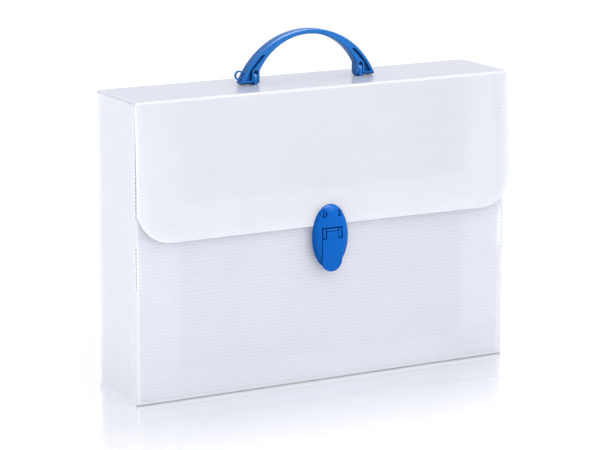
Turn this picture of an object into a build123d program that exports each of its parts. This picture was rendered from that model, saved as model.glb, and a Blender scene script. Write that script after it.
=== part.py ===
"""Drawing portfolio case of folded twin-wall sheet, with an arch handle and an oval lever clasp.

Millimetres. X runs along the case, Y from front to back, Z up. The origin is on the surface that the
case stands on, under the middle of the box. The front face looks towards -Y.
"""

import os
from math import cos, radians, sin, sqrt

from build123d import *

os.makedirs("parts", exist_ok=True)

# Case
case_width = 380.0
case_height = 270.0
box_depth = 76.0  # back face to the front panel's face
front_height = 177.0  # top edge of the front panel
flap_height = 124.8
flap_corner_radius = 32.0
flap_proud = 3.5  # the flap's outer face stands this far in front of the front panel at the crease
flap_lean = 1.3  # degrees, the backing plate of the clasp props the flap out
dust_flap_width = 42.5
fit_gap = 0.2  # between the lid and what it closes on

# Twin-wall sheet
sheet = 3.0
flute_pitch = 3.5
skin = 0.35
web = 0.35

# Lock slots in the front corners
slot_bottom = 104.0
slot_height = 38.0
fold_top = 167.0  # above this the side's front edge is a raw cut
lock_recess = 1.0

# Handle
handle_half_length = 68.8
handle_rise = 46.5  # top of the arch above the lid
handle_thickness = 4.3  # at the top of the arch
handle_width = 10.0
foot_inner = 50.2
foot_corner_height = 11.5
tip_height = 2.0
pin_height = 6.0
foot_round = 5.7  # foot's underside, about the pin
lug_centre = 54.0
lug_width = 3.0
lug_slot_width = 4.2
lug_slot_top = 13.5
rib = 1.3
rim = 2.6
pocket_depth = 3.5
pocket_floor_height = 4.0
pocket_tip = (44.2, 26.3)  # from the middle of the lid's outer face
handle_pin_radius = 1.2
running_clearance = 0.06
eyelet_outer = 4.3
eyelet_inner = 3.0
eyelet_thickness = 2.0
eyelet_place = (-68.4, 0.0, 9.0)  # from the middle of the lid's outer face

# Clasp, measured along the flap from its crease and out from its outer face
clasp_half_width = 18.5
clasp_half_height = 29.5
clasp_centre = -135.6
clasp_height = 5.0
# the oval's face, as heights and how far in from its rim each lies
clasp_dome = ((0, 0), (1.0, 0.5), (2.1, 1.4), (3.1, 2.8), (3.9, 5.0), (4.6, 8.8), (5.0, 14.0))
lever_crown = 260.0
clasp_floor = 1.2
skirt_depth = 3.5
skirt_inset = 2.2  # from the oval's rim
skirt_wall = 1.6
screw_height = -114.2
screw_spacing = 16.0
screw_head_radius = 3.1
screw_head_under = 1.4
screw_head = 1.5
screw_slot_width = 1.2
screw_radius = 1.5
backing_plate = 1.6
window_top = -126.7
lever_width = 20.2
lever_gap = 0.4
lever_neck_width = 11.8
lever_top = -130.4
lever_shoulder = -137.1
lever_end = -167.3
lever_proud = 0.3
lever_back = 1.7
lever_core = 3.2  # ceiling of the hollow in the lever's back
ear_top = -127.9
ear_bottom = -136.1
ear_inner = 6.7
ear_outer = 9.3
ear_height = 4.5
hinge_height = -129.4
hinge_out = 3.0
hinge_pin_radius = 0.8
barrel_radius = 1.5
tooth_top = -153.9
tooth_width = 10.0
tooth_thickness = 2.6
tooth_reach = 1.7  # behind the flap's outer face
tooth_window = (15.0, -146.0, -161.5)  # width, top and bottom of the hole in the housing's floor

# Keeper on the front panel
keeper_width = 20.0
keeper_bottom = 113.0
keeper_top = 138.0
keeper_plate = 1.6
nose_width = 14.0
nose_bottom = 117.2
nose_thickness = 3.8
nose_reach = 6.3  # from the front panel's face
rivet_height = 131.0
rivet_spacing = 12.0
rivet_radius = 1.5
rivet_head_radius = 2.4
rivet_head = 1.0

# Levels that several pieces share
half_width = case_width / 2
half_depth = box_depth / 2
inner_half = half_width - sheet  # the outer sides' inner faces
layer_half = inner_half - sheet  # the inner sides' inner faces
front_face = -half_depth
front_inside = front_face + sheet
back_inside = half_depth - sheet
lid_top = case_height
lid_under = case_height - sheet
wall_top = lid_under - fit_gap
flap_face = front_face - flap_proud
lean = radians(flap_lean)

# The flap's outer face: X along the case, Y up the flap from its crease, Z outward
flap_plane = Plane(
    origin=(0, flap_face, lid_top), x_dir=(1, 0, 0), z_dir=(0, -cos(lean), sin(lean))
)
flap_end = Plane(
    origin=(-half_width, flap_face, lid_top), x_dir=(0, sin(lean), cos(lean)), z_dir=(1, 0, 0)
)
lid_plane = Plane.XY.offset(lid_top)
handle_plane = Plane(origin=(0, 0, lid_top), x_dir=(1, 0, 0), z_dir=(0, -1, 0))


def flute_cells(length):
    """Cuts the row of open cells out of a sheet's section that lies along the sketch's X."""
    count = int((length - web) // flute_pitch)
    with GridLocations(flute_pitch, 1, count, 1):
        Rectangle(flute_pitch - web, sheet - 2 * skin, mode=Mode.SUBTRACT)


def upright_section(x, y, low, high):
    """Plane across the flutes of an upright panel whose flutes run along X."""
    return Plane(origin=(x, y, (low + high) / 2), x_dir=(0, 0, 1), z_dir=(1, 0, 0))


def side_section(x, y, low, high):
    """Plane across the flutes of a side wall, whose flutes run along Y."""
    return Plane(origin=(x, y, (low + high) / 2), x_dir=(0, 0, 1), z_dir=(0, 1, 0))


def quarter_fold(x, y, side, front, low, high):
    """Rounded upright crease of one sheet thickness, with its inner corner at (x, y)."""
    with BuildSketch(Plane.XY.offset(low)) as crease:
        with Locations((x, y)):
            Circle(sheet)
        with Locations((x + side * sheet / 2, y + front * sheet / 2)):
            Rectangle(sheet, sheet, mode=Mode.INTERSECT)
    extrude(crease.sketch, amount=high - low)


# Back panel, with the rounded creases that lead into the inner sides
with BuildPart() as back_panel:
    back_middle = half_depth - sheet / 2
    with BuildSketch(upright_section(-layer_half, back_middle, sheet, wall_top + sheet)):
        Rectangle(wall_top, sheet)
        flute_cells(wall_top - 2 * sheet)
    extrude(amount=2 * layer_half)
    for side in (-1, 1):
        quarter_fold(side * layer_half, back_inside, side, 1, sheet, wall_top)
    # the lid's crease is a mitre, so the top edge is cut back at 45 degrees
    with BuildSketch(Plane.YZ.offset(-half_width)):
        with BuildLine():
            Polyline(
                (back_inside - 1, wall_top - 1),
                (half_depth + 1, wall_top + sheet + 1),
                (back_inside - 1, wall_top + sheet + 1),
                close=True,
            )
        make_face()
    extrude(amount=case_width, mode=Mode.SUBTRACT)
back_panel.part.label = "back_panel"
export_step(back_panel.part, "parts/back_panel.step")

# Bottom panel, as wide as the case, with the rounded creases that lead up to the front and back
with BuildPart() as bottom_panel:
    with BuildSketch(Plane(origin=(-half_width, 0, sheet / 2), x_dir=(0, 1, 0), z_dir=(1, 0, 0))):
        Rectangle(box_depth - 2 * sheet, sheet)
        flute_cells(box_depth - 2 * sheet)
    extrude(amount=case_width)
    with BuildSketch(Plane.YZ.offset(-half_width)):
        for y, side in ((front_inside, -1), (back_inside, 1)):
            with BuildLine():
                CenterArc((y, sheet), sheet, 270, 90 * side)
                Polyline((y, 0), (y, sheet), (y + side * sheet, sheet))
            make_face()
    extrude(amount=case_width)
bottom_panel.part.label = "bottom_panel"
export_step(bottom_panel.part, "parts/bottom_panel.step")

# Front panel, with the rounded creases into the outer sides, interrupted by the lock slots
with BuildPart() as front_panel:
    with BuildSketch(upright_section(-inner_half, front_face + sheet / 2, sheet, front_height)):
        Rectangle(front_height - sheet, sheet)
        flute_cells(front_height - sheet)
    extrude(amount=2 * inner_half)
    for side in (-1, 1):
        for low, high in ((sheet, slot_bottom), (slot_bottom + slot_height, fold_top)):
            quarter_fold(side * inner_half, front_inside, side, -1, low, high)
    # relief at the top corners, where the crease ends below the panel's top edge
    relief = front_height - fold_top
    with BuildSketch(Plane.XZ.offset(-front_inside)):
        for side in (-1, 1):
            with BuildLine():
                Polyline(
                    (side * inner_half, fold_top),
                    (side * (inner_half - relief), front_height),
                    (side * inner_half, front_height),
                    close=True,
                )
            make_face()
    extrude(amount=sheet, mode=Mode.SUBTRACT)
    with BuildSketch(Plane.XZ.offset(-front_inside)):
        with Locations((0, rivet_height)):
            with GridLocations(rivet_spacing, 1, 2, 1):
                Circle(rivet_radius + running_clearance)
    extrude(amount=sheet, mode=Mode.SUBTRACT)
front_panel.part.label = "front_panel"
export_step(front_panel.part, "parts/front_panel.step")

# Outer sides, left and right: flush raw edge above the crease, a recessed lock edge in the slot
for side, name in ((-1, "side_left"), (1, "side_right")):
    side_middle = side * (half_width - sheet / 2)
    with BuildPart() as outer_side:
        with BuildSketch(side_section(side_middle, front_face, sheet, wall_top)):
            Rectangle(wall_top - sheet, sheet)
            flute_cells(wall_top - sheet)
        extrude(amount=back_inside - front_face)
        with BuildSketch(Plane.YZ.offset(side_middle - sheet)):
            with BuildLine():
                # from the bottom up: crease, lock edge, crease, then the raw edge
                Polyline(
                    (front_face - 1, sheet - 1),
                    (front_inside, sheet - 1),
                    (front_inside, slot_bottom + fit_gap),
                    (front_face + lock_recess, slot_bottom + fit_gap),
                    (front_face + lock_recess, slot_bottom + slot_height - fit_gap),
                    (front_inside, slot_bottom + slot_height - fit_gap),
                    (front_inside, fold_top),
                    (front_face - 1, fold_top),
                    close=True,
                )
            make_face()
        extrude(amount=2 * sheet, mode=Mode.SUBTRACT)
        # rounded corner at the top front
        with BuildSketch(Plane.YZ.offset(side_middle - sheet)):
            with Locations((front_face + sheet / 2, wall_top - sheet / 2)):
                Rectangle(sheet, sheet)
            with Locations((front_face + sheet, wall_top - sheet)):
                Circle(sheet, mode=Mode.SUBTRACT)
        extrude(amount=2 * sheet, mode=Mode.SUBTRACT)
    outer_side.part.label = name
    export_step(outer_side.part, f"parts/{name}.step")

# Inner sides, the second layer, between the back panel and the dust flaps
for side, name in ((-1, "inner_side_left"), (1, "inner_side_right")):
    layer_middle = side * (inner_half - sheet / 2)
    with BuildPart() as inner_side:
        with BuildSketch(side_section(layer_middle, front_inside + sheet, sheet, wall_top)):
            Rectangle(wall_top - sheet, sheet)
        extrude(amount=back_inside - front_inside - sheet)
    inner_side.part.label = name
    export_step(inner_side.part, f"parts/{name}.step")

# Dust flaps behind the front panel, with the rounded crease that leads into the inner side
for side, name in ((-1, "dust_flap_left"), (1, "dust_flap_right")):
    with BuildPart() as dust_flap:
        start = side * (half_width - dust_flap_width)
        with BuildSketch(upright_section(start, front_inside + sheet / 2, sheet, wall_top)):
            Rectangle(wall_top - sheet, sheet)
            flute_cells(wall_top - sheet)
        extrude(amount=side * (dust_flap_width - 2 * sheet))
        quarter_fold(side * layer_half, front_inside + sheet, side, -1, sheet, wall_top)
    dust_flap.part.label = name
    export_step(dust_flap.part, f"parts/{name}.step")

# Lid: mitred at both creases, with a slot for each lug of the handle
with BuildPart() as top_panel:
    lid_middle = (flap_face + half_depth) / 2
    lid_length = half_depth - flap_face
    with BuildSketch(
        Plane(
            origin=(-half_width, lid_middle, lid_top - sheet / 2),
            x_dir=(0, 1, 0),
            z_dir=(1, 0, 0),
        )
    ):
        with BuildLine():
            Polyline(
                (-lid_length / 2, sheet / 2),
                (lid_length / 2, sheet / 2),
                (lid_length / 2 - sheet - fit_gap, -sheet / 2),
                (-lid_length / 2 + sheet, -sheet / 2),
                close=True,
            )
        make_face()
        flute_cells(lid_length - 2 * sheet)
    extrude(amount=case_width)
    with BuildSketch(lid_plane):
        with Locations((-lug_centre, 0), (lug_centre, 0)):
            Rectangle(lug_width + 2 * fit_gap, handle_width + 2 * fit_gap)
    extrude(amount=-sheet, mode=Mode.SUBTRACT)
top_panel.part.label = "top_panel"
export_step(top_panel.part, "parts/top_panel.step")

# Handle anchors: a flange under the lid and a lug that stands up through it into the foot
flange_length = 34.0
flange_width = 24.0
flange_thickness = 2.0
for side, name in ((-1, "handle_anchor_left"), (1, "handle_anchor_right")):
    with BuildPart() as anchor:
        with BuildSketch(Plane.XY.offset(lid_under - flange_thickness)):
            with Locations((side * lug_centre, 0)):
                RectangleRounded(flange_length, flange_width, 4)
        extrude(amount=flange_thickness)
        with BuildSketch(Plane.YZ.offset(side * lug_centre - lug_width / 2)):
            with Locations((0, (lid_under + lid_top + pin_height) / 2)):
                Rectangle(handle_width, lid_top + pin_height - lid_under)
            with Locations((0, lid_top + pin_height)):
                Circle(handle_width / 2)
                Circle(handle_pin_radius + running_clearance, mode=Mode.SUBTRACT)
        extrude(amount=lug_width)
    anchor.part.label = name
    export_step(anchor.part, f"parts/{name}.step")

# Handle: an arch cut from arcs, with feet that are cored on both faces and slotted for the lugs
with BuildPart() as handle:
    with BuildSketch(handle_plane):
        with BuildLine():
            outer = ThreePointArc(
                (-handle_half_length, tip_height),
                (0, handle_rise),
                (handle_half_length, tip_height),
            )
            Line(outer @ 1, (handle_half_length - 1.5, fit_gap))
            Line((handle_half_length - 1.5, fit_gap), (foot_inner, fit_gap))
            Line((foot_inner, fit_gap), (foot_inner, foot_corner_height))
            ThreePointArc(
                (foot_inner, foot_corner_height),
                (0, handle_rise - handle_thickness),
                (-foot_inner, foot_corner_height),
            )
            Line((-foot_inner, foot_corner_height), (-foot_inner, fit_gap))
            Line((-foot_inner, fit_gap), (-handle_half_length + 1.5, fit_gap))
            Line((-handle_half_length + 1.5, fit_gap), outer @ 0)
        make_face()
    extrude(amount=handle_width / 2, both=True)
    arch_edges = handle.edges().filter_by(GeomType.CIRCLE).filter_by(
        lambda edge: edge.length > handle_half_length
    )
    chamfer(arch_edges, length=0.8)
    # the underside of the feet is round about the pins
    with BuildSketch(Plane.YZ.offset(-case_width / 2)):
        with Locations((0, lid_top + pin_height)):
            Circle(foot_round)
        with Locations((0, lid_top + pin_height + case_height / 2)):
            Rectangle(handle_width, case_height)
        with Locations((0, lid_top + case_height / 2)):
            Rectangle(handle_width, case_height, mode=Mode.INTERSECT)
    extrude(amount=case_width, mode=Mode.INTERSECT)
    # slots for the lugs
    with BuildSketch(handle_plane.offset(-handle_width / 2)):
        for side in (-1, 1):
            slot_arc = lug_slot_top - lug_slot_width / 2
            with Locations((side * lug_centre, slot_arc)):
                Circle(lug_slot_width / 2)
            with Locations((side * lug_centre, slot_arc / 2)):
                Rectangle(lug_slot_width, slot_arc)
    extrude(amount=handle_width, mode=Mode.SUBTRACT)
    # cored pockets on the front and back faces
    arch_radius = (handle_half_length**2 + (handle_rise - tip_height) ** 2) / (
        2 * (handle_rise - tip_height)
    )
    arch_centre = handle_rise - arch_radius
    pocket_radius = arch_radius - rim
    pocket_corner = sqrt(pocket_radius**2 - (pocket_floor_height - arch_centre) ** 2)
    rib_side = lug_centre + lug_slot_width / 2 + rib
    rib_arc = lug_slot_top - lug_slot_width / 2
    rib_radius = lug_slot_width / 2 + rib
    tip_x, tip_z = pocket_tip
    tip_on_rim = sqrt(pocket_radius**2 - (tip_z - arch_centre) ** 2)
    for face in (handle_width / 2 - pocket_depth, -handle_width / 2):
        with BuildSketch(handle_plane.offset(face)):
            with BuildLine():
                RadiusArc((tip_on_rim, tip_z), (pocket_corner, pocket_floor_height), pocket_radius)
                Line((pocket_corner, pocket_floor_height), (rib_side, pocket_floor_height))
                Line((rib_side, pocket_floor_height), (rib_side, rib_arc))
                CenterArc((lug_centre, rib_arc), rib_radius, 0, 70)
                Polyline(
                    (
                        lug_centre + rib_radius * cos(radians(70)),
                        rib_arc + rib_radius * sin(radians(70)),
                    ),
                    (tip_x, tip_z),
                    (tip_on_rim, tip_z),
                )
            make_face()
            mirror(about=Plane.YZ)
        extrude(amount=pocket_depth, mode=Mode.SUBTRACT)
    # holes for the pins
    pin_hole = lug_centre + 4.5 - foot_inner
    for start in (-lug_centre - 4.5, foot_inner):
        with BuildSketch(Plane.YZ.offset(start)):
            with Locations((0, lid_top + pin_height)):
                Circle(handle_pin_radius + 0.02)
        extrude(amount=pin_hole, mode=Mode.SUBTRACT)
    # eyelet on the left foot
    eyelet_x, eyelet_y, eyelet_z = eyelet_place
    with BuildSketch(handle_plane.offset(-eyelet_y - eyelet_thickness / 2)):
        with Locations((eyelet_x, eyelet_z)):
            Circle(eyelet_outer)
    extrude(amount=eyelet_thickness)
    with BuildSketch(handle_plane.offset(-eyelet_y - eyelet_thickness / 2)):
        with Locations((eyelet_x, eyelet_z)):
            Circle(eyelet_inner)
    extrude(amount=eyelet_thickness, mode=Mode.SUBTRACT)
handle.part.label = "handle"
export_step(handle.part, "parts/handle.step")

# Handle pins, fixed in the feet and free to turn in the lugs
for side, name in ((-1, "handle_pin_left"), (1, "handle_pin_right")):
    start = -lug_centre - 4.4 if side < 0 else foot_inner + 0.1
    with BuildPart() as handle_pin:
        with BuildSketch(Plane.YZ.offset(start)):
            with Locations((0, lid_top + pin_height)):
                Circle(handle_pin_radius)
        extrude(amount=lug_centre + 4.3 - foot_inner)
    handle_pin.part.label = name
    export_step(handle_pin.part, f"parts/{name}.step")

# Flap: mitred at its crease, round at its lower corners, with the raw flute ends at its sides
with BuildPart() as flap_panel:
    with BuildSketch(flap_end):
        with BuildLine():
            Polyline(
                (-fit_gap, 0),
                (-flap_height, 0),
                (-flap_height, -sheet),
                (-sheet - fit_gap, -sheet),
                close=True,
            )
        make_face()
        with Locations((-(flap_height + sheet) / 2, -sheet / 2)):
            flute_cells(flap_height - sheet)
    extrude(amount=case_width)
    with BuildSketch(flap_plane):
        with Locations((0, -flap_height / 2)):
            outline = Rectangle(case_width, flap_height)
        fillet(outline.vertices().group_by(Axis.Y)[0], radius=flap_corner_radius)
    extrude(amount=-sheet, mode=Mode.INTERSECT)
    with BuildSketch(flap_plane):
        with Locations((0, screw_height)):
            with GridLocations(screw_spacing, 1, 2, 1):
                Circle(screw_radius + running_clearance)
    extrude(amount=-sheet, mode=Mode.SUBTRACT)
flap_panel.part.label = "flap_panel"
export_step(flap_panel.part, "parts/flap_panel.step")

# Clasp housing: a crowned oval with a window for the lever, two ears for its pin and a skirt
# that reaches back below the flap's edge
with BuildPart() as clasp_housing:
    clasp_low = clasp_centre - clasp_half_height
    for level, inset in clasp_dome:
        with BuildSketch(flap_plane.offset(level)):
            with Locations((0, clasp_centre)):
                Ellipse(clasp_half_width - inset, clasp_half_height - inset)
    loft(ruled=True)
    with BuildSketch(flap_plane):
        with Locations((0, clasp_centre)):
            Ellipse(clasp_half_width - skirt_inset, clasp_half_height - skirt_inset)
            Ellipse(
                clasp_half_width - skirt_inset - skirt_wall,
                clasp_half_height - skirt_inset - skirt_wall,
                mode=Mode.SUBTRACT,
            )
        with Locations((0, -flap_height - 2 * fit_gap - clasp_half_height)):
            Rectangle(2 * clasp_half_width, 2 * clasp_half_height, mode=Mode.INTERSECT)
    extrude(amount=-skirt_depth)
    # window in the face, down through the oval's lower end
    with BuildSketch(flap_plane.offset(clasp_floor)):
        with Locations((0, (window_top + clasp_low - 1) / 2)):
            Rectangle(lever_width + 2 * lever_gap, window_top - clasp_low + 1)
    extrude(amount=clasp_height, mode=Mode.SUBTRACT)
    with BuildSketch(flap_plane.offset(clasp_floor)):
        for side in (-1, 1):
            with Locations((side * (ear_inner + ear_outer) / 2, (ear_top + ear_bottom) / 2)):
                Rectangle(ear_outer - ear_inner, ear_top - ear_bottom)
    extrude(amount=ear_height - clasp_floor)
    with BuildSketch(flap_end.offset(half_width - ear_outer)):
        with Locations((hinge_height, hinge_out)):
            Circle(hinge_pin_radius + 0.02)
    extrude(amount=2 * ear_outer, mode=Mode.SUBTRACT)
    # hole in the floor for the lever's tooth
    window_width, window_high, window_low = tooth_window
    with BuildSketch(flap_plane):
        with Locations((0, (window_high + window_low) / 2)):
            Rectangle(window_width, window_high - window_low)
    extrude(amount=clasp_floor, mode=Mode.SUBTRACT)
    # counterbored holes for the screws
    with Locations(flap_plane.location * Pos(0, screw_height, 0)):
        with GridLocations(screw_spacing, 1, 2, 1):
            Cylinder(
                screw_radius + running_clearance,
                screw_head_under,
                align=(Align.CENTER, Align.CENTER, Align.MIN),
                mode=Mode.SUBTRACT,
            )
    with Locations(flap_plane.location * Pos(0, screw_height, screw_head_under)):
        with GridLocations(screw_spacing, 1, 2, 1):
            Cylinder(
                screw_head_radius + fit_gap,
                clasp_height,
                align=(Align.CENTER, Align.CENTER, Align.MIN),
                mode=Mode.SUBTRACT,
            )
clasp_housing.part.label = "clasp_housing"
export_step(clasp_housing.part, "parts/clasp_housing.step")

# Clasp screws with slotted heads
with BuildPart() as clasp_screws:
    with BuildSketch(flap_plane.offset(screw_head_under)):
        with Locations((0, screw_height)):
            with GridLocations(screw_spacing, 1, 2, 1):
                Circle(screw_head_radius)
    extrude(amount=screw_head)
    with BuildSketch(flap_plane.offset(screw_head_under + screw_head)):
        with Locations((0, screw_height)):
            with GridLocations(screw_spacing, 1, 2, 1):
                Rectangle(screw_slot_width, 3 * screw_head_radius)
    extrude(amount=-screw_head / 2, mode=Mode.SUBTRACT)
    with BuildSketch(flap_plane.offset(screw_head_under)):
        with Locations((0, screw_height)):
            with GridLocations(screw_spacing, 1, 2, 1):
                Circle(screw_radius)
    extrude(amount=-screw_head_under - sheet - backing_plate)
clasp_screws.part.label = "clasp_screws"
export_step(clasp_screws.part, "parts/clasp_screws.step")

# Backing plate inside the flap
with BuildPart() as clasp_backing:
    with BuildSketch(flap_plane.offset(-sheet)):
        with Locations((0, screw_height)):
            RectangleRounded(28, 12, 3)
            with GridLocations(screw_spacing, 1, 2, 1):
                Circle(screw_radius + running_clearance, mode=Mode.SUBTRACT)
    extrude(amount=-backing_plate)
clasp_backing.part.label = "clasp_backing"
export_step(clasp_backing.part, "parts/clasp_backing.step")

# Hinge pin of the lever, fixed in the ears
with BuildPart() as clasp_pin:
    with BuildSketch(flap_end.offset(half_width - ear_outer + 0.5)):
        with Locations((hinge_height, hinge_out)):
            Circle(hinge_pin_radius)
    extrude(amount=2 * ear_outer - 1)
clasp_pin.part.label = "clasp_pin"
export_step(clasp_pin.part, "parts/clasp_pin.step")

# Lever: a crowned tab with a narrow neck, a hinge barrel, a hollow back and a tooth
with BuildPart() as clasp_lever:
    lever_round = lever_width / 2
    with BuildSketch(flap_plane.offset(lever_back)):
        with Locations((0, (lever_shoulder + lever_end + lever_round) / 2)):
            Rectangle(lever_width, lever_shoulder - lever_end - lever_round)
        with Locations((0, lever_end + lever_round)):
            Circle(lever_round)
    extrude(amount=clasp_height)
    neck_back = hinge_out - barrel_radius
    with BuildSketch(flap_plane.offset(neck_back)):
        with Locations((0, (lever_top + lever_shoulder) / 2)):
            Rectangle(lever_neck_width, lever_top - lever_shoulder)
    extrude(amount=clasp_height - neck_back)
    crown_centre = clasp_height + lever_proud - lever_crown
    with Locations(flap_plane.location * Pos(0, clasp_centre, crown_centre)):
        Sphere(lever_crown, mode=Mode.INTERSECT)
    with BuildSketch(flap_end.offset(half_width - lever_neck_width / 2)):
        with Locations((hinge_height, hinge_out)):
            Circle(barrel_radius)
    extrude(amount=lever_neck_width)
    with BuildSketch(flap_end.offset(half_width - lever_neck_width / 2)):
        with Locations((hinge_height, hinge_out)):
            Circle(hinge_pin_radius + running_clearance)
    extrude(amount=lever_neck_width, mode=Mode.SUBTRACT)
    with BuildSketch(flap_plane.offset(lever_back)):
        with Locations((0, (lever_shoulder + lever_end + lever_round) / 2 - 1)):
            RectangleRounded(lever_width - 4, lever_shoulder - lever_end - lever_round - 2, 1.5)
    extrude(amount=lever_core - lever_back, mode=Mode.SUBTRACT)
    with BuildSketch(flap_plane.offset(-tooth_reach)):
        with Locations((0, tooth_top - tooth_thickness / 2)):
            Rectangle(tooth_width, tooth_thickness)
    extrude(amount=tooth_reach + lever_core)
clasp_lever.part.label = "clasp_lever"
export_step(clasp_lever.part, "parts/clasp_lever.step")

# Keeper: a plate on the front panel with a nose that the lever's tooth holds under
keeper_plane = Plane.XZ.offset(-front_face)
with BuildPart() as keeper:
    with BuildSketch(keeper_plane):
        with Locations((0, (keeper_bottom + keeper_top) / 2)):
            RectangleRounded(keeper_width, keeper_top - keeper_bottom, 2)
        with Locations((0, rivet_height)):
            with GridLocations(rivet_spacing, 1, 2, 1):
                Circle(rivet_radius + running_clearance, mode=Mode.SUBTRACT)
    extrude(amount=keeper_plate)
    with BuildSketch(keeper_plane):
        with Locations((0, nose_bottom + nose_thickness / 2)):
            Rectangle(nose_width, nose_thickness)
    extrude(amount=nose_reach)
    nose_edges = keeper.edges().filter_by(Axis.X).group_by(Axis.Y)[0]
    fillet(nose_edges, radius=1.0)
keeper.part.label = "keeper"
export_step(keeper.part, "parts/keeper.step")

# Backing plate inside the front panel
backing_height = 12.0
with BuildPart() as keeper_backing:
    with BuildSketch(Plane.XZ.offset(-front_inside)):
        with Locations((0, rivet_height)):
            RectangleRounded(keeper_width, backing_height, 2)
            with GridLocations(rivet_spacing, 1, 2, 1):
                Circle(rivet_radius + running_clearance, mode=Mode.SUBTRACT)
    extrude(amount=-backing_plate)
keeper_backing.part.label = "keeper_backing"
export_step(keeper_backing.part, "parts/keeper_backing.step")

# Rivets through the keeper, the front panel and the backing plate
with BuildPart() as keeper_rivets:
    shank = keeper_plate + sheet + backing_plate
    with BuildSketch(keeper_plane.offset(keeper_plate)):
        with Locations((0, rivet_height)):
            with GridLocations(rivet_spacing, 1, 2, 1):
                Circle(rivet_head_radius)
    extrude(amount=rivet_head)
    with BuildSketch(keeper_plane.offset(keeper_plate)):
        with Locations((0, rivet_height)):
            with GridLocations(rivet_spacing, 1, 2, 1):
                Circle(rivet_radius)
    extrude(amount=-shank)
    with BuildSketch(keeper_plane.offset(keeper_plate - shank)):
        with Locations((0, rivet_height)):
            with GridLocations(rivet_spacing, 1, 2, 1):
                Circle(rivet_head_radius)
    extrude(amount=-rivet_head)
keeper_rivets.part.label = "keeper_rivets"
export_step(keeper_rivets.part, "parts/keeper_rivets.step")
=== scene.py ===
"""Looks of the drawing portfolio case: white twin-wall sheet with blue moulded fittings.

It is all in the CAD's frame. The case's own sizes are in millimetres and become metres through
MM. The floor, the lamps and the scales of the materials are in metres.
"""

from math import cos, pi, radians, sin, sqrt

import bmesh
import bpy
from mathutils import Matrix, Vector


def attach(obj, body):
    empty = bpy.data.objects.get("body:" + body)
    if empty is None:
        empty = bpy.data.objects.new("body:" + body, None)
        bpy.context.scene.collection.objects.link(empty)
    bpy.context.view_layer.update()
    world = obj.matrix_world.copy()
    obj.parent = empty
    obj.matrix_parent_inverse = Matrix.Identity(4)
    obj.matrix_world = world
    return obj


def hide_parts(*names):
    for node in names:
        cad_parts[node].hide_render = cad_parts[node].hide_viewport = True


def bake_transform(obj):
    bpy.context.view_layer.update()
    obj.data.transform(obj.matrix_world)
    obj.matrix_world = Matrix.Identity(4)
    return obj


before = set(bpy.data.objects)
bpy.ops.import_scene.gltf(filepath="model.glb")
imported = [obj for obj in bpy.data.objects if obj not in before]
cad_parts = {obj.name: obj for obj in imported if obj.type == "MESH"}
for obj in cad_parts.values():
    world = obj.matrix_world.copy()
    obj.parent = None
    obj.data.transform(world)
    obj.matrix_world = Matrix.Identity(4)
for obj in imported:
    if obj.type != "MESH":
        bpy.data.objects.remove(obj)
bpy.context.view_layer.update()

MM = 0.001

# Sizes of the case, as in the CAD
HALF = 190.0  # of the length
FRONT = -38.0
BACK = 38.0
LID = 270.0
FRONT_TOP = 177.0
RELIEF = 167.0  # above it the front's corners are cut back, since its folds end there
SLOT_LOW, SLOT_HIGH = 104.0, 142.0  # the lock slots in the front's folds
LOCK_RECESS = 1.0
WALL_TOP = 266.8
FLAP_Y = -41.5
FLAP_LENGTH = 124.8
FLAP_RADIUS = 32.0
LEAN = radians(1.3)
CREASE = 1.6  # outer radius of the creases at the lid's edges
SHEET = 3.0

# Make of the sheet
SKIN = 0.35
WEB = 0.35
INNER = 2.8  # the inner skin lies this deep, clear of what touches the sheet's back
WEB_GAP = 0.02  # between a web's edge and a skin
PITCH = 3.3
SAG = 0.07  # how far a skin sinks between two webs
RIM = 1.2  # how far the painted glow of a cut edge shows in the flutes
HINGE = 1.1  # thickness in the creases at the lid's edges

# How far the flap's lower corners bow forward
BOW_LEFT = 1.5
BOW_RIGHT = 5.4

# Level of each panel's first web, on the axis across its flutes
UPRIGHT_FIRST = SHEET + WEB / 2
WALL_FIRST = SHEET + 0.15
FLAP_FIRST = FLAP_LENGTH - WEB / 2 - PITCH * int(FLAP_LENGTH / PITCH)
LID_FIRST = FLAP_Y + CREASE + WEB / 2

STEP = 0.1  # height over which a wall's front edge steps from one depth to another
QUARTER = [radians(90 * i / 8) for i in range(9)]  # of the folds' and creases' arcs


# Node trees


class Tree:
    """Short forms for a node tree. A value is a number, a colour or another node's socket."""

    def __init__(self, tree):
        self.nodes, self.links = tree.nodes, tree.links

    def put(self, value, socket):
        if isinstance(value, bpy.types.NodeSocket):
            self.links.new(value, socket)
        else:
            socket.default_value = value

    def add(self, kind, values=(), **settings):
        """A new node. values go by an input's name or number."""
        node = self.nodes.new("ShaderNode" + kind)
        for setting, value in settings.items():
            setattr(node, setting, value)
        for key, value in dict(values).items():
            self.put(value, node.inputs[key])
        return node

    def math(self, operation, *values):
        return self.add("Math", enumerate(values), operation=operation).outputs[0]

    def noise(self, coords, scale, detail=2.0, rough=0.5):
        values = {"Vector": coords, "Scale": scale, "Detail": detail, "Roughness": rough}
        return self.add("TexNoise", values).outputs["Fac"]

    def ramp(self, fac, *stops):
        """From one colour to another, each at its stop."""
        node = self.add("ValToRGB", {0: fac})
        for element, (place, colour) in zip(node.color_ramp.elements, stops):
            element.position, element.color = place, (*colour, 1)
        return node.outputs[0]

    def graded(self, value, low, high, at_low, at_high):
        """at_low up to low, at_high from high on, and an even blend between them."""
        values = (value, low, high, at_low, at_high)
        return self.add("MapRange", enumerate(values)).outputs["Result"]

    def bump(self, strength, distance, height):
        values = {"Strength": strength, "Distance": distance, "Height": height}
        return self.add("Bump", values)

    def chosen(self, test, yes, no):
        """One of two numbers. These are the numbers among the Mix node's inputs."""
        return self.add("Mix", {0: test, 2: no, 3: yes}).outputs[0]

    def mixed(self, share, first, second):
        return self.add("MixShader", enumerate((share, first, second))).outputs[0]


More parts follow.
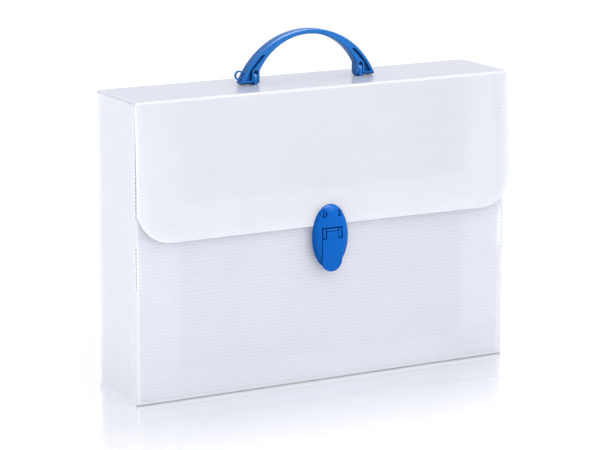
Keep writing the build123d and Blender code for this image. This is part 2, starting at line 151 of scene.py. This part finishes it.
def new_material(name):
    mat = bpy.data.materials.new(name)
    mat.use_nodes = True
    mat.node_tree.nodes.clear()
    tree = Tree(mat.node_tree)
    return mat, tree, tree.add("BsdfPrincipled"), tree.add("TexCoord").outputs["Object"]


def grey(level):
    return (level, level, level)


# Materials


def sheet_material(
    name,
    colour,
    clear=0.0,
    glow=0.0,
    webs=None,
    swing=0.0,
    painted_glow=0.0,
    rough=(0.36, 0.44),
    shine=0.5,
):
    """White sheet. clear is the share of light that goes straight through one skin, and glow the
    share of the rest that it scatters through. webs gives the axis across the flutes, its scale
    and the first web along it in millimetres: over a web less goes straight through, by swing,
    and a piece that lets nothing through has faint ribs there instead. The emission is a painted
    glow that stands in for light the sheet carries inside it, most of all at its cut edges."""
    mat, tree, bsdf, coords = new_material(name)
    cloud = tree.noise(coords, 14.0, 3.0)
    r, g, b = colour
    tint = tree.ramp(cloud, (0.3, (r * 0.975, g * 0.975, b * 0.98)), (0.7, colour))
    tree.put(tint, bsdf.inputs["Base Color"])
    polish = tree.ramp(cloud, (0.2, grey(rough[0])), (0.8, grey(rough[1])))
    tree.put(polish, bsdf.inputs["Roughness"])
    tree.put(1.49, bsdf.inputs["IOR"])
    tree.put(shine, bsdf.inputs["Specular IOR Level"])
    # painted glow: an emission that stands in for light the sheet carries inside it
    if painted_glow:
        tree.put((*colour, 1), bsdf.inputs["Emission Color"])
        tree.put(painted_glow, bsdf.inputs["Emission Strength"])
    surface = tree.bump(0.12, 0.0001, tree.noise(coords, 2600.0, 2.0, 0.6))
    share = clear
    if webs:
        axis, scale, first_web = webs
        across = tree.add("SeparateXYZ", {0: coords}).outputs[axis]
        turns = 2 * pi * scale / PITCH
        wave = tree.math(
            "COSINE", tree.math("MULTIPLY_ADD", across, turns / MM, -turns * first_web)
        )
        if clear:
            share = tree.math("MULTIPLY_ADD", wave, -swing, clear)
        else:
            ribs = tree.bump(1.0, 0.00003, wave)
            tree.put(surface.outputs[0], ribs.inputs["Normal"])
            surface = ribs
    tree.put(surface.outputs[0], bsdf.inputs["Normal"])
    shader = bsdf.outputs[0]
    if glow:
        through = tree.add("BsdfTranslucent", {"Color": tint})
        shader = tree.mixed(glow, shader, through.outputs[0])
    if clear:
        shader = tree.mixed(share, shader, tree.add("BsdfTransparent").outputs[0])
    tree.add("OutputMaterial", {0: shader})
    return mat


def blue_material(name, colour, rough, shine):
    """Glossy moulded plastic with faint flow marks and fine scuffs, and painted shade that darkens
    its crevices.
    """
    mat, tree, bsdf, coords = new_material(name)
    flow = tree.noise(coords, 60.0, 3.0)
    r, g, b = colour
    marks = tree.ramp(flow, (0.3, (r * 0.93, g * 0.94, b * 0.96)), (0.7, colour))
    # painted shade: the base colour darkens where ambient occlusion finds a crevice
    crevice = tree.add("AmbientOcclusion", {"Distance": 0.0016}, samples=8)
    shade = tree.ramp(crevice.outputs["AO"], (0.35, (0.12, 0.2, 0.4)), (0.85, grey(1)))
    deep = tree.add(
        "Mix", {"Factor": 1.0, "A": marks, "B": shade}, data_type="RGBA", blend_type="MULTIPLY"
    )
    tree.put(deep.outputs["Result"], bsdf.inputs["Base Color"])
    scuffs = tree.noise(coords, 900.0, 4.0)
    polish = tree.ramp(scuffs, (0.35, grey(rough * 0.85)), (0.7, grey(rough * 1.2)))
    tree.put(polish, bsdf.inputs["Roughness"])
    tree.put(1.5, bsdf.inputs["IOR"])
    tree.put(shine, bsdf.inputs["Specular IOR Level"])
    surface = tree.bump(0.05, 0.0001, tree.noise(coords, 1500.0))
    tree.put(surface.outputs[0], bsdf.inputs["Normal"])
    tree.add("OutputMaterial", {0: bsdf.outputs[0]})
    return mat


WHITE = (0.905, 0.92, 0.985)
# painted light: the flap's white is warmer and brighter than the front's
WARMER = (0.93, 0.937, 0.98)
BRIGHT = (0.94, 0.95, 0.985)
LAVENDER = (0.89, 0.905, 0.985)
# painted shade: the lid's white is darker than the other skins'
SHADED_LID_WHITE = (0.605, 0.635, 0.74)
FLUTE_GLOW = (0.93, 0.94, 1.0)

UPRIGHT_WEBS = (2, 1, UPRIGHT_FIRST)
FLAP_WEBS = (2, 1 / cos(LEAN), LID - FLAP_FIRST * cos(LEAN))

# Skins
front_mat = sheet_material("sheet_front", WHITE, 0.45, 0.15, UPRIGHT_WEBS, 0.02, 0.045)
flap_mat = sheet_material("sheet_flap", WARMER, 0.42, 0.15, FLAP_WEBS, 0.008, 0.02)
# painted shade: the flap's last column and rim are darker than the rest of the flap
shaded_flap_end_mat = sheet_material("sheet_flap_end_painted_shade", (0.82, 0.835, 0.885), 0.3, 0.08, FLAP_WEBS, 0.02)
lid_mat = sheet_material("sheet_lid", SHADED_LID_WHITE, 0.04, 0.05, rough=(0.2, 0.26), shine=1.0)
side_mat = sheet_material("sheet_side", LAVENDER, 0.1, 0.1, painted_glow=0.025)
back_mat = sheet_material("sheet_back", WHITE, 0.06, 0.05, UPRIGHT_WEBS, 0.01)
under_mat = sheet_material("sheet_lid_underside", (0.71, 0.725, 0.79), painted_glow=0.08)
# painted shade: the back's inner skin is darker, for the shade inside the case
shaded_inside_mat = sheet_material("sheet_inside_painted_shade", (0.56, 0.59, 0.71))

# Webs, and cut ends and rims that give off a painted glow
web_mat = sheet_material("sheet_web", WHITE, 0.2, 0.2)
cut_mat = sheet_material("sheet_cut", BRIGHT, painted_glow=0.1)
rim_mat = sheet_material("sheet_rim", BRIGHT, painted_glow=0.15)
wall_rim_mat = sheet_material("sheet_wall_rim_glow", (0.9, 0.91, 0.95), painted_glow=0.36)
lid_rim_mat = sheet_material("sheet_lid_rim", (0.86, 0.87, 0.93), painted_glow=0.13)

# Solid sheet, folds and creases, in a white painted darker than the skins' as shade
solid_z = sheet_material("sheet_ribs_upright", (0.69, 0.7, 0.75), webs=(2, 1, 0))
solid_y = sheet_material("sheet_ribs_level", (0.7, 0.71, 0.76), webs=(1, 1, 0))
fold_mat = sheet_material("sheet_fold", (0.73, 0.74, 0.79))
shaded_fold_mat = sheet_material("sheet_fold_painted_shade", (0.68, 0.69, 0.74))
crease_mat = sheet_material("sheet_crease", (0.73, 0.735, 0.78))

# Painted glow in the bottom panel's flutes, and not in the creases beside them: an emission that
# stands in for light the sheet carries
tree = Tree(solid_y.node_tree)
off_middle = tree.math("ABSOLUTE", tree.nodes["Separate XYZ"].outputs["Y"])
in_flutes = tree.math("LESS_THAN", off_middle, (BACK - SHEET) * MM)
shader = tree.nodes["Principled BSDF"]
tree.put(tree.math("MULTIPLY", in_flutes, 0.2), shader.inputs["Emission Strength"])
tree.put((*FLUTE_GLOW, 1), shader.inputs["Emission Color"])

blue_grip = blue_material("moulded_blue_grip", (0.006, 0.093, 0.31), 0.34, 0.17)
blue = blue_material("moulded_blue", (0.001, 0.073, 0.31), 0.22, 0.07)


# Pieces


def new_object(name, bm, materials):
    mesh = bpy.data.meshes.new(name)
    bm.to_mesh(mesh)
    bm.free()
    for material in materials:
        mesh.materials.append(material)
    obj = bpy.data.objects.new(name, mesh)
    bpy.context.scene.collection.objects.link(obj)
    return obj


def finish_piece(name, bm, materials, body, replaces=()):
    obj = new_object(name, bm, materials)
    obj.data.set_sharp_from_angle(angle=radians(35))
    if body:
        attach(obj, body)
    if replaces:
        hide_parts(*replaces)
    return obj


# Fluted panels, and the places of a panel's looks among its material slots

SKIN_LOOK, CUT_LOOK, RIM_LOOK, WEB_LOOK, INNER_LOOK, LAST_LOOK = range(6)


def span(low, high, step):
    count = max(1, round((high - low) / step))
    return [low + (high - low) * i / count for i in range(count + 1)]


def flute_rows(low, high, first_web, extra):
    """Levels across the flutes: every web and three levels between webs, and any extra ones.
    Of two that all but meet, the lower is kept."""
    rows = {low, high, *extra}
    web = first_web
    while web < high:
        for part in (0, 0.25, 0.5, 0.75):
            if low < web + part * PITCH < high:
                rows.add(web + part * PITCH)
        web += PITCH
    kept = []
    for t in sorted(rows):
        if not kept or t - kept[-1] > STEP / 2:
            kept.append(t)
    return kept


def panel(
    name,
    replaces,
    body,
    levels,
    first_web,
    low,
    high,
    place,
    cols,
    skin,
    rim,
    extra=(),
    inner=None,
    last=None,
):
    """Two skins with webs between them, over levels across the flutes and in cols columns along
    them. low(t) and high(t) are the flutes' ends at a level t, and place(s, t, n) turns a place
    along the flutes, across them and out from the face into millimetres. rim is the look of the
    flutes' ends, how deep in it reaches and at which ends. inner and last are the looks of the
    inner skin and of the last column where they differ, and extra are levels that the outline
    needs."""
    rim_look, rim_depth, rim_ends = rim
    rows = flute_rows(*levels, first_web, extra)
    bm = bmesh.new()

    def sunk(t):
        return SAG * sin(pi * (t - first_web) / PITCH) ** 2

    def at(s, t, n):
        return bm.verts.new(Vector(place(s, t, n)) * MM)

    def strip(line_a, line_b, look=CUT_LOOK):
        faces = []
        for i in range(len(line_a) - 1):
            face = bm.faces.new((line_a[i], line_a[i + 1], line_b[i + 1], line_b[i]))
            face.material_index = look
            faces.append(face)
        return faces

    def along(t, n):
        a, b = low(t), high(t)
        inside = span(a + rim_depth, b - rim_depth, (b - a - 2 * rim_depth) / cols)
        return [at(s, t, n) for s in (a, *inside, b)]

    def light_rims(faces):
        for end in rim_ends:
            faces[end].material_index = RIM_LOOK

    for depth, sign in ((0, -1), (-INNER, 1)):
        grid = [along(t, depth + sign * sunk(t)) for t in rows]
        for a, b in zip(grid, grid[1:]):
            faces = strip(a, b, INNER_LOOK if depth else SKIN_LOOK)
            for face in faces:
                face.smooth = True
            if last:
                # the last column and the rim beyond it
                for face in faces[-2:]:
                    face.material_index = LAST_LOOK
            if depth:
                light_rims(faces)
    # closed edges along the flutes
    for t in (rows[0], rows[-1]):
        strip(along(t, 0), along(t, -INNER))
    # webs, and the cut ends of webs and skins
    web = first_web
    while web < rows[-1] + WEB:
        t = min(max(web, rows[0]), rows[-1])
        light_rims(strip(along(t, -WEB_GAP), along(t, WEB_GAP - INNER), WEB_LOOK))
        near, far = max(t - WEB / 2, rows[0]), min(t + WEB / 2, rows[-1])
        for end in (low, high):
            corners = ((near, 0), (far, 0), (far, -INNER), (near, -INNER))
            bm.faces.new(at(end(u), u, n) for u, n in corners).material_index = CUT_LOOK
        web += PITCH
    for end in (low, high):
        for near, far in ((0, -SKIN), (-INNER, SKIN - INNER)):
            strip([at(end(t), t, near) for t in rows], [at(end(t), t, far) for t in rows])
    looks = (skin, cut_mat, rim_look, web_mat, inner or skin, last or skin)
    finish_piece(name, bm, looks, body, replaces)


# Flap: leans out, and its two lower corners bow forward


def flap_end(t):
    over = t - (FLAP_LENGTH - FLAP_RADIUS)
    if over <= 0:
        return HALF
    return HALF - FLAP_RADIUS + sqrt(max(FLAP_RADIUS**2 - over**2, 0))


def flap_place(s, t, n):
    bow = BOW_LEFT if s < 0 else BOW_RIGHT
    out = n + bow * sin(pi / 2 * t / FLAP_LENGTH) * (s / HALF) ** 2
    return s, FLAP_Y - t * sin(LEAN) - out * cos(LEAN), LID - t * cos(LEAN) + out * sin(LEAN)


panel(
    "flap",
    replaces=("flap_panel",),
    body="flap",
    levels=(CREASE, FLAP_LENGTH),
    first_web=FLAP_FIRST,
    low=lambda t: -flap_end(t),
    high=flap_end,
    place=flap_place,
    cols=32,
    skin=flap_mat,
    rim=(rim_mat, RIM, (0,)),
    extra=[FLAP_LENGTH - FLAP_RADIUS + FLAP_RADIUS * sin(radians(a)) for a in range(0, 91, 6)],
    last=shaded_flap_end_mat,
)


# Front panel


def front_end(t):
    return HALF - SHEET - max(0, t - RELIEF)


panel(
    "front",
    replaces=("front_panel",),
    body="case",
    levels=(SHEET, FRONT_TOP),
    first_web=UPRIGHT_FIRST,
    low=lambda t: -front_end(t),
    high=front_end,
    place=lambda s, t, n: (s, FRONT - n, t),
    cols=10,
    skin=front_mat,
    rim=(rim_mat, RIM, (0, -1)),
    extra=(RELIEF,),
)

# Lid
panel(
    "lid_top",
    replaces=("top_panel",),
    body="lid",
    levels=(FLAP_Y + CREASE, BACK - CREASE),
    first_web=LID_FIRST,
    low=lambda t: -HALF,
    high=lambda t: HALF,
    place=lambda s, t, n: (s, t, LID + n),
    cols=10,
    skin=lid_mat,
    rim=(lid_rim_mat, 2 * RIM, (0, -1)),
    inner=under_mat,
)

# Back panel
panel(
    "back",
    replaces=("back_panel",),
    body="case",
    levels=(SHEET, LID - CREASE),
    first_web=UPRIGHT_FIRST,
    low=lambda t: SHEET * 2 - HALF,
    high=lambda t: HALF - SHEET * 2,
    place=lambda s, t, n: (s, BACK + n, t),
    cols=10,
    skin=back_mat,
    rim=(rim_mat, RIM, (0, -1)),
    inner=shaded_inside_mat,
)


# Outer sides: folded below, with a lock edge in the slot, and raw above


def wall_front(t):
    if t < SLOT_LOW or SLOT_HIGH < t < RELIEF:
        return FRONT + SHEET
    if t < SLOT_HIGH:
        return FRONT + LOCK_RECESS
    over = max(0, t - (WALL_TOP - SHEET))
    return FRONT + SHEET - sqrt(max(SHEET**2 - over**2, 0))


# levels where the edge steps, and some on its rounded top corner
WALL_STEPS = (SLOT_LOW - STEP, SLOT_LOW, SLOT_HIGH, SLOT_HIGH + STEP, RELIEF - STEP, RELIEF)
WALL_CORNER = (WALL_TOP - 1.8, WALL_TOP - 0.9, WALL_TOP - 0.3)

for side, word in ((-1, "left"), (1, "right")):
    panel(
        f"{word}_wall",
        replaces=(f"side_{word}",),
        body="case",
        levels=(SHEET, WALL_TOP),
        first_web=WALL_FIRST,
        low=wall_front,
        high=lambda t: BACK - SHEET,
        place=lambda s, t, n, side=side: (side * (HALF + n), s, t),
        cols=4,
        skin=side_mat,
        rim=(wall_rim_mat, 2 * RIM, (0,)),
        extra=WALL_STEPS + WALL_CORNER,
    )


# Folds and creases


def upright_fold(name, x, y, side, front, low, high, material):
    """Quarter-round fold of one sheet thickness between two walls."""
    bm = bmesh.new()
    lines = []
    for z in (low, high):
        line = [
            bm.verts.new(Vector((x + side * SHEET * cos(a), y + front * SHEET * sin(a), z)) * MM)
            for a in QUARTER
        ]
        lines.append(line)
        bm.faces.new([*line, bm.verts.new(Vector((x, y, z)) * MM)])
    bottom, top = lines
    for i in range(len(QUARTER) - 1):
        bm.faces.new((bottom[i], bottom[i + 1], top[i + 1], top[i]))
    for face in bm.faces:
        face.smooth = True
    finish_piece(name, bm, (material,), "case")


for side, word in ((-1, "left"), (1, "right")):
    # painted shade: the right front fold and the back folds take the darker copy, where more light
    # falls
    front_look = fold_mat if side < 0 else shaded_fold_mat
    x, y = side * (HALF - SHEET), FRONT + SHEET
    upright_fold(f"front_fold_{word}_low", x, y, side, -1, SHEET, SLOT_LOW, front_look)
    upright_fold(f"front_fold_{word}_high", x, y, side, -1, SLOT_HIGH, RELIEF, front_look)
    x, y = side * (HALF - SHEET * 2), BACK - SHEET
    upright_fold(f"back_fold_{word}", x, y, side, 1, SHEET, WALL_TOP, shaded_fold_mat)


def crease(name, y, side):
    """Living hinge rounded along a top edge, CREASE in outer radius and HINGE thick."""
    bm = bmesh.new()
    middle_y, middle_z = y - side * CREASE, LID - CREASE
    columns = span(-HALF, HALF, 20)
    outer, inner = (
        [
            [
                bm.verts.new(
                    Vector((x, middle_y + side * radius * sin(a), middle_z + radius * cos(a))) * MM
                )
                for x in columns
            ]
            for a in QUARTER
        ]
        for radius in (CREASE, CREASE - HINGE)
    )
    loop = outer + inner[::-1]
    for a, b in zip(loop, loop[1:] + loop[:1]):
        for k in range(len(columns) - 1):
            bm.faces.new((a[k], a[k + 1], b[k + 1], b[k]))
    for k in (0, -1):
        bm.faces.new([ring[k] for ring in loop])
    for face in bm.faces:
        face.smooth = True
    obj = finish_piece(name, bm, (crease_mat,), None)
    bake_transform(obj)


crease("flap_crease", FLAP_Y, -1)
crease("lid_crease", BACK, 1)

# CAD pieces that keep their shape
BLUE_NODES = (
    "handle",
    "handle_anchor_left",
    "handle_anchor_right",
    "handle_pin_left",
    "handle_pin_right",
    "keeper",
    "keeper_backing",
    "keeper_rivets",
    "clasp_housing",
    "clasp_screws",
    "clasp_backing",
    "clasp_pin",
    "clasp_lever",
)
ROUNDING = 0.35
OWN_ROUNDING = {"handle": 0.7, "clasp_screws": 0.12}


def dress(node, material):
    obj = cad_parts[node]
    obj.data.materials.clear()
    obj.data.materials.append(material)
    return obj


for node in ("inner_side_left", "inner_side_right", "dust_flap_left", "dust_flap_right"):
    dress(node, solid_z)
dress("bottom_panel", solid_y)
for node in BLUE_NODES:
    obj = dress(node, blue_grip if node.startswith("handle") else blue)
    bevel = obj.modifiers.new("rounding", "BEVEL")
    bevel.width = OWN_ROUNDING.get(node, ROUNDING) * MM
    bevel.segments = 3
    bevel.limit_method = "ANGLE"
    bevel.angle_limit = radians(40)
    bevel.harden_normals = False

# Floor: matt white that also mirrors at a flat angle, though only near the case
FLOOR_SIZE = 30.0
FLOOR_LOW, FLOOR_HIGH = (0.92, 0.92, 0.925), (0.94, 0.94, 0.945)
MIRROR_FULL, MIRROR_NONE = 0.05, 0.22  # distances from the case's footprint
MIRROR_STRENGTH = 2.8
MIRROR_POWER = 4.0  # the higher, the flatter the angle has to be

floor_mat, tree, matt, coords = new_material("studio_floor")
cloud = tree.noise(coords, 3.0)
tree.put(tree.ramp(cloud, (0.3, FLOOR_LOW), (0.7, FLOOR_HIGH)), matt.inputs["Base Color"])
tree.put(0.6, matt.inputs["Roughness"])
mirror = tree.add("BsdfGlossy", {"Color": (1, 1, 1, 1)})
tree.put(tree.ramp(cloud, (0.3, grey(0.03)), (0.7, grey(0.05))), mirror.inputs["Roughness"])
place = tree.add("SeparateXYZ", {0: coords}).outputs
reach = [
    tree.math("SUBTRACT", tree.math("ABSOLUTE", place[axis]), half * MM)
    for axis, half in enumerate((HALF, BACK))
]
polish = tree.graded(
    tree.math("MAXIMUM", *reach), MIRROR_FULL, MIRROR_NONE, MIRROR_STRENGTH, 0.0
)
facing = tree.add("LayerWeight").outputs["Facing"]
share = tree.math("MULTIPLY", tree.math("POWER", facing, MIRROR_POWER), polish)
floor_shader = tree.mixed(share, matt.outputs[0], mirror.outputs[0])
tree.add("OutputMaterial", {0: floor_shader})

bm = bmesh.new()
bmesh.ops.create_grid(bm, x_segments=1, y_segments=1, size=FLOOR_SIZE / 2)
obj = new_object("floor", bm, (floor_mat,))

# The backdrop is white. What it casts is brightest from above and in front, and a glossy
# surface mirrors white behind the case and low down, and a dim ceiling in front
BRIGHTEST = Vector((0.05, -0.7, 0.65)).normalized()
CAST_LEAST, CAST_MOST = 0.44, 1.47
CEILING = 0.4
CEILING_FROM, CEILING_FULL = 0.4, 0.55  # height of the direction
BEHIND_FROM, BEHIND_FULL = -0.1, 0.5  # depth of the direction

world = bpy.data.worlds.new("studio")
bpy.context.scene.world = world
world.use_nodes = True
tree = Tree(world.node_tree)
towards = tree.add("TexCoord").outputs["Generated"]
lean = tree.add("VectorMath", {0: towards, 1: BRIGHTEST}, operation="DOT_PRODUCT")
cast = tree.graded(lean.outputs["Value"], -1.0, 1.0, CAST_LEAST, CAST_MOST)
place = tree.add("SeparateXYZ", {0: towards}).outputs
ceiling = tree.graded(place[2], CEILING_FROM, CEILING_FULL, 1.0, CEILING)
mirrored = tree.graded(place[1], BEHIND_FROM, BEHIND_FULL, ceiling, 1.0)
rays = tree.add("LightPath").outputs
strength = tree.chosen(rays["Is Glossy Ray"], mirrored, cast)
strength = tree.chosen(rays["Is Camera Ray"], 1.0, strength)
background = tree.nodes["Background"]
tree.put(strength, background.inputs["Strength"])
tree.put((1, 1, 1, 1), background.inputs["Color"])


# Lamps


def area(name, place, target, size, power):
    """A rectangular lamp in metres and watts, turned towards its target."""
    light = bpy.data.lights.new(name, "AREA")
    light.shape = "RECTANGLE"
    light.size, light.size_y = size
    light.energy = power
    obj = bpy.data.objects.new(name, light)
    obj.location = place
    obj.rotation_euler = (Vector(target) - Vector(place)).to_track_quat("-Z", "Y").to_euler()
    bpy.context.scene.collection.objects.link(obj)
    return obj


area("key", (-0.2, -2.0, 1.6), (0, 0, 0.15), (2.4, 2.0), 6)

# Two for the fittings alone: one shapes them from the right, one only gives highlights
fittings = bpy.data.collections.new("fittings")
for node in BLUE_NODES:
    fittings.objects.link(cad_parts[node])
shaping = area("shaping", (1.3, -1.5, 1.85), (0, 0, 0.15), (1.6, 1.6), 90)
softbox = area("softbox", (0.2, -0.4, 1.7), (0, 0, 0.2), (0.9, 0.9), 85)
softbox.visible_diffuse = False
for lamp in (shaping, softbox):
    lamp.light_linking.receiver_collection = fittings

# Camera, fitted to the box's corners in the photograph
CAMERA_PLACE = (-1159.5, -2062.2, 648.6)
YAW, TILT, ROLL = radians(29.222), radians(-12.221), radians(0.165)
FOCAL = 2659.0  # in the photograph's pixels
PHOTO_WIDTH = 600.0
SENSOR = 36.0

camera = bpy.data.cameras.new("camera")
camera.sensor_width = SENSOR
camera.lens = FOCAL * SENSOR / PHOTO_WIDTH
camera.clip_start, camera.clip_end = 0.1, 60.0
cam = bpy.data.objects.new("camera", camera)
forward = Vector((sin(YAW) * cos(TILT), cos(YAW) * cos(TILT), sin(TILT)))
level = Vector((cos(YAW), -sin(YAW), 0))
above = level.cross(forward)
right = level * cos(ROLL) + above * sin(ROLL)
up = above * cos(ROLL) - level * sin(ROLL)
cam.rotation_euler = Matrix((right, up, -forward)).transposed().to_euler()
cam.location = Vector(CAMERA_PLACE) * MM
bpy.context.scene.collection.objects.link(cam)
bpy.context.scene.camera = cam
bpy.context.scene.view_settings.view_transform = "Standard"
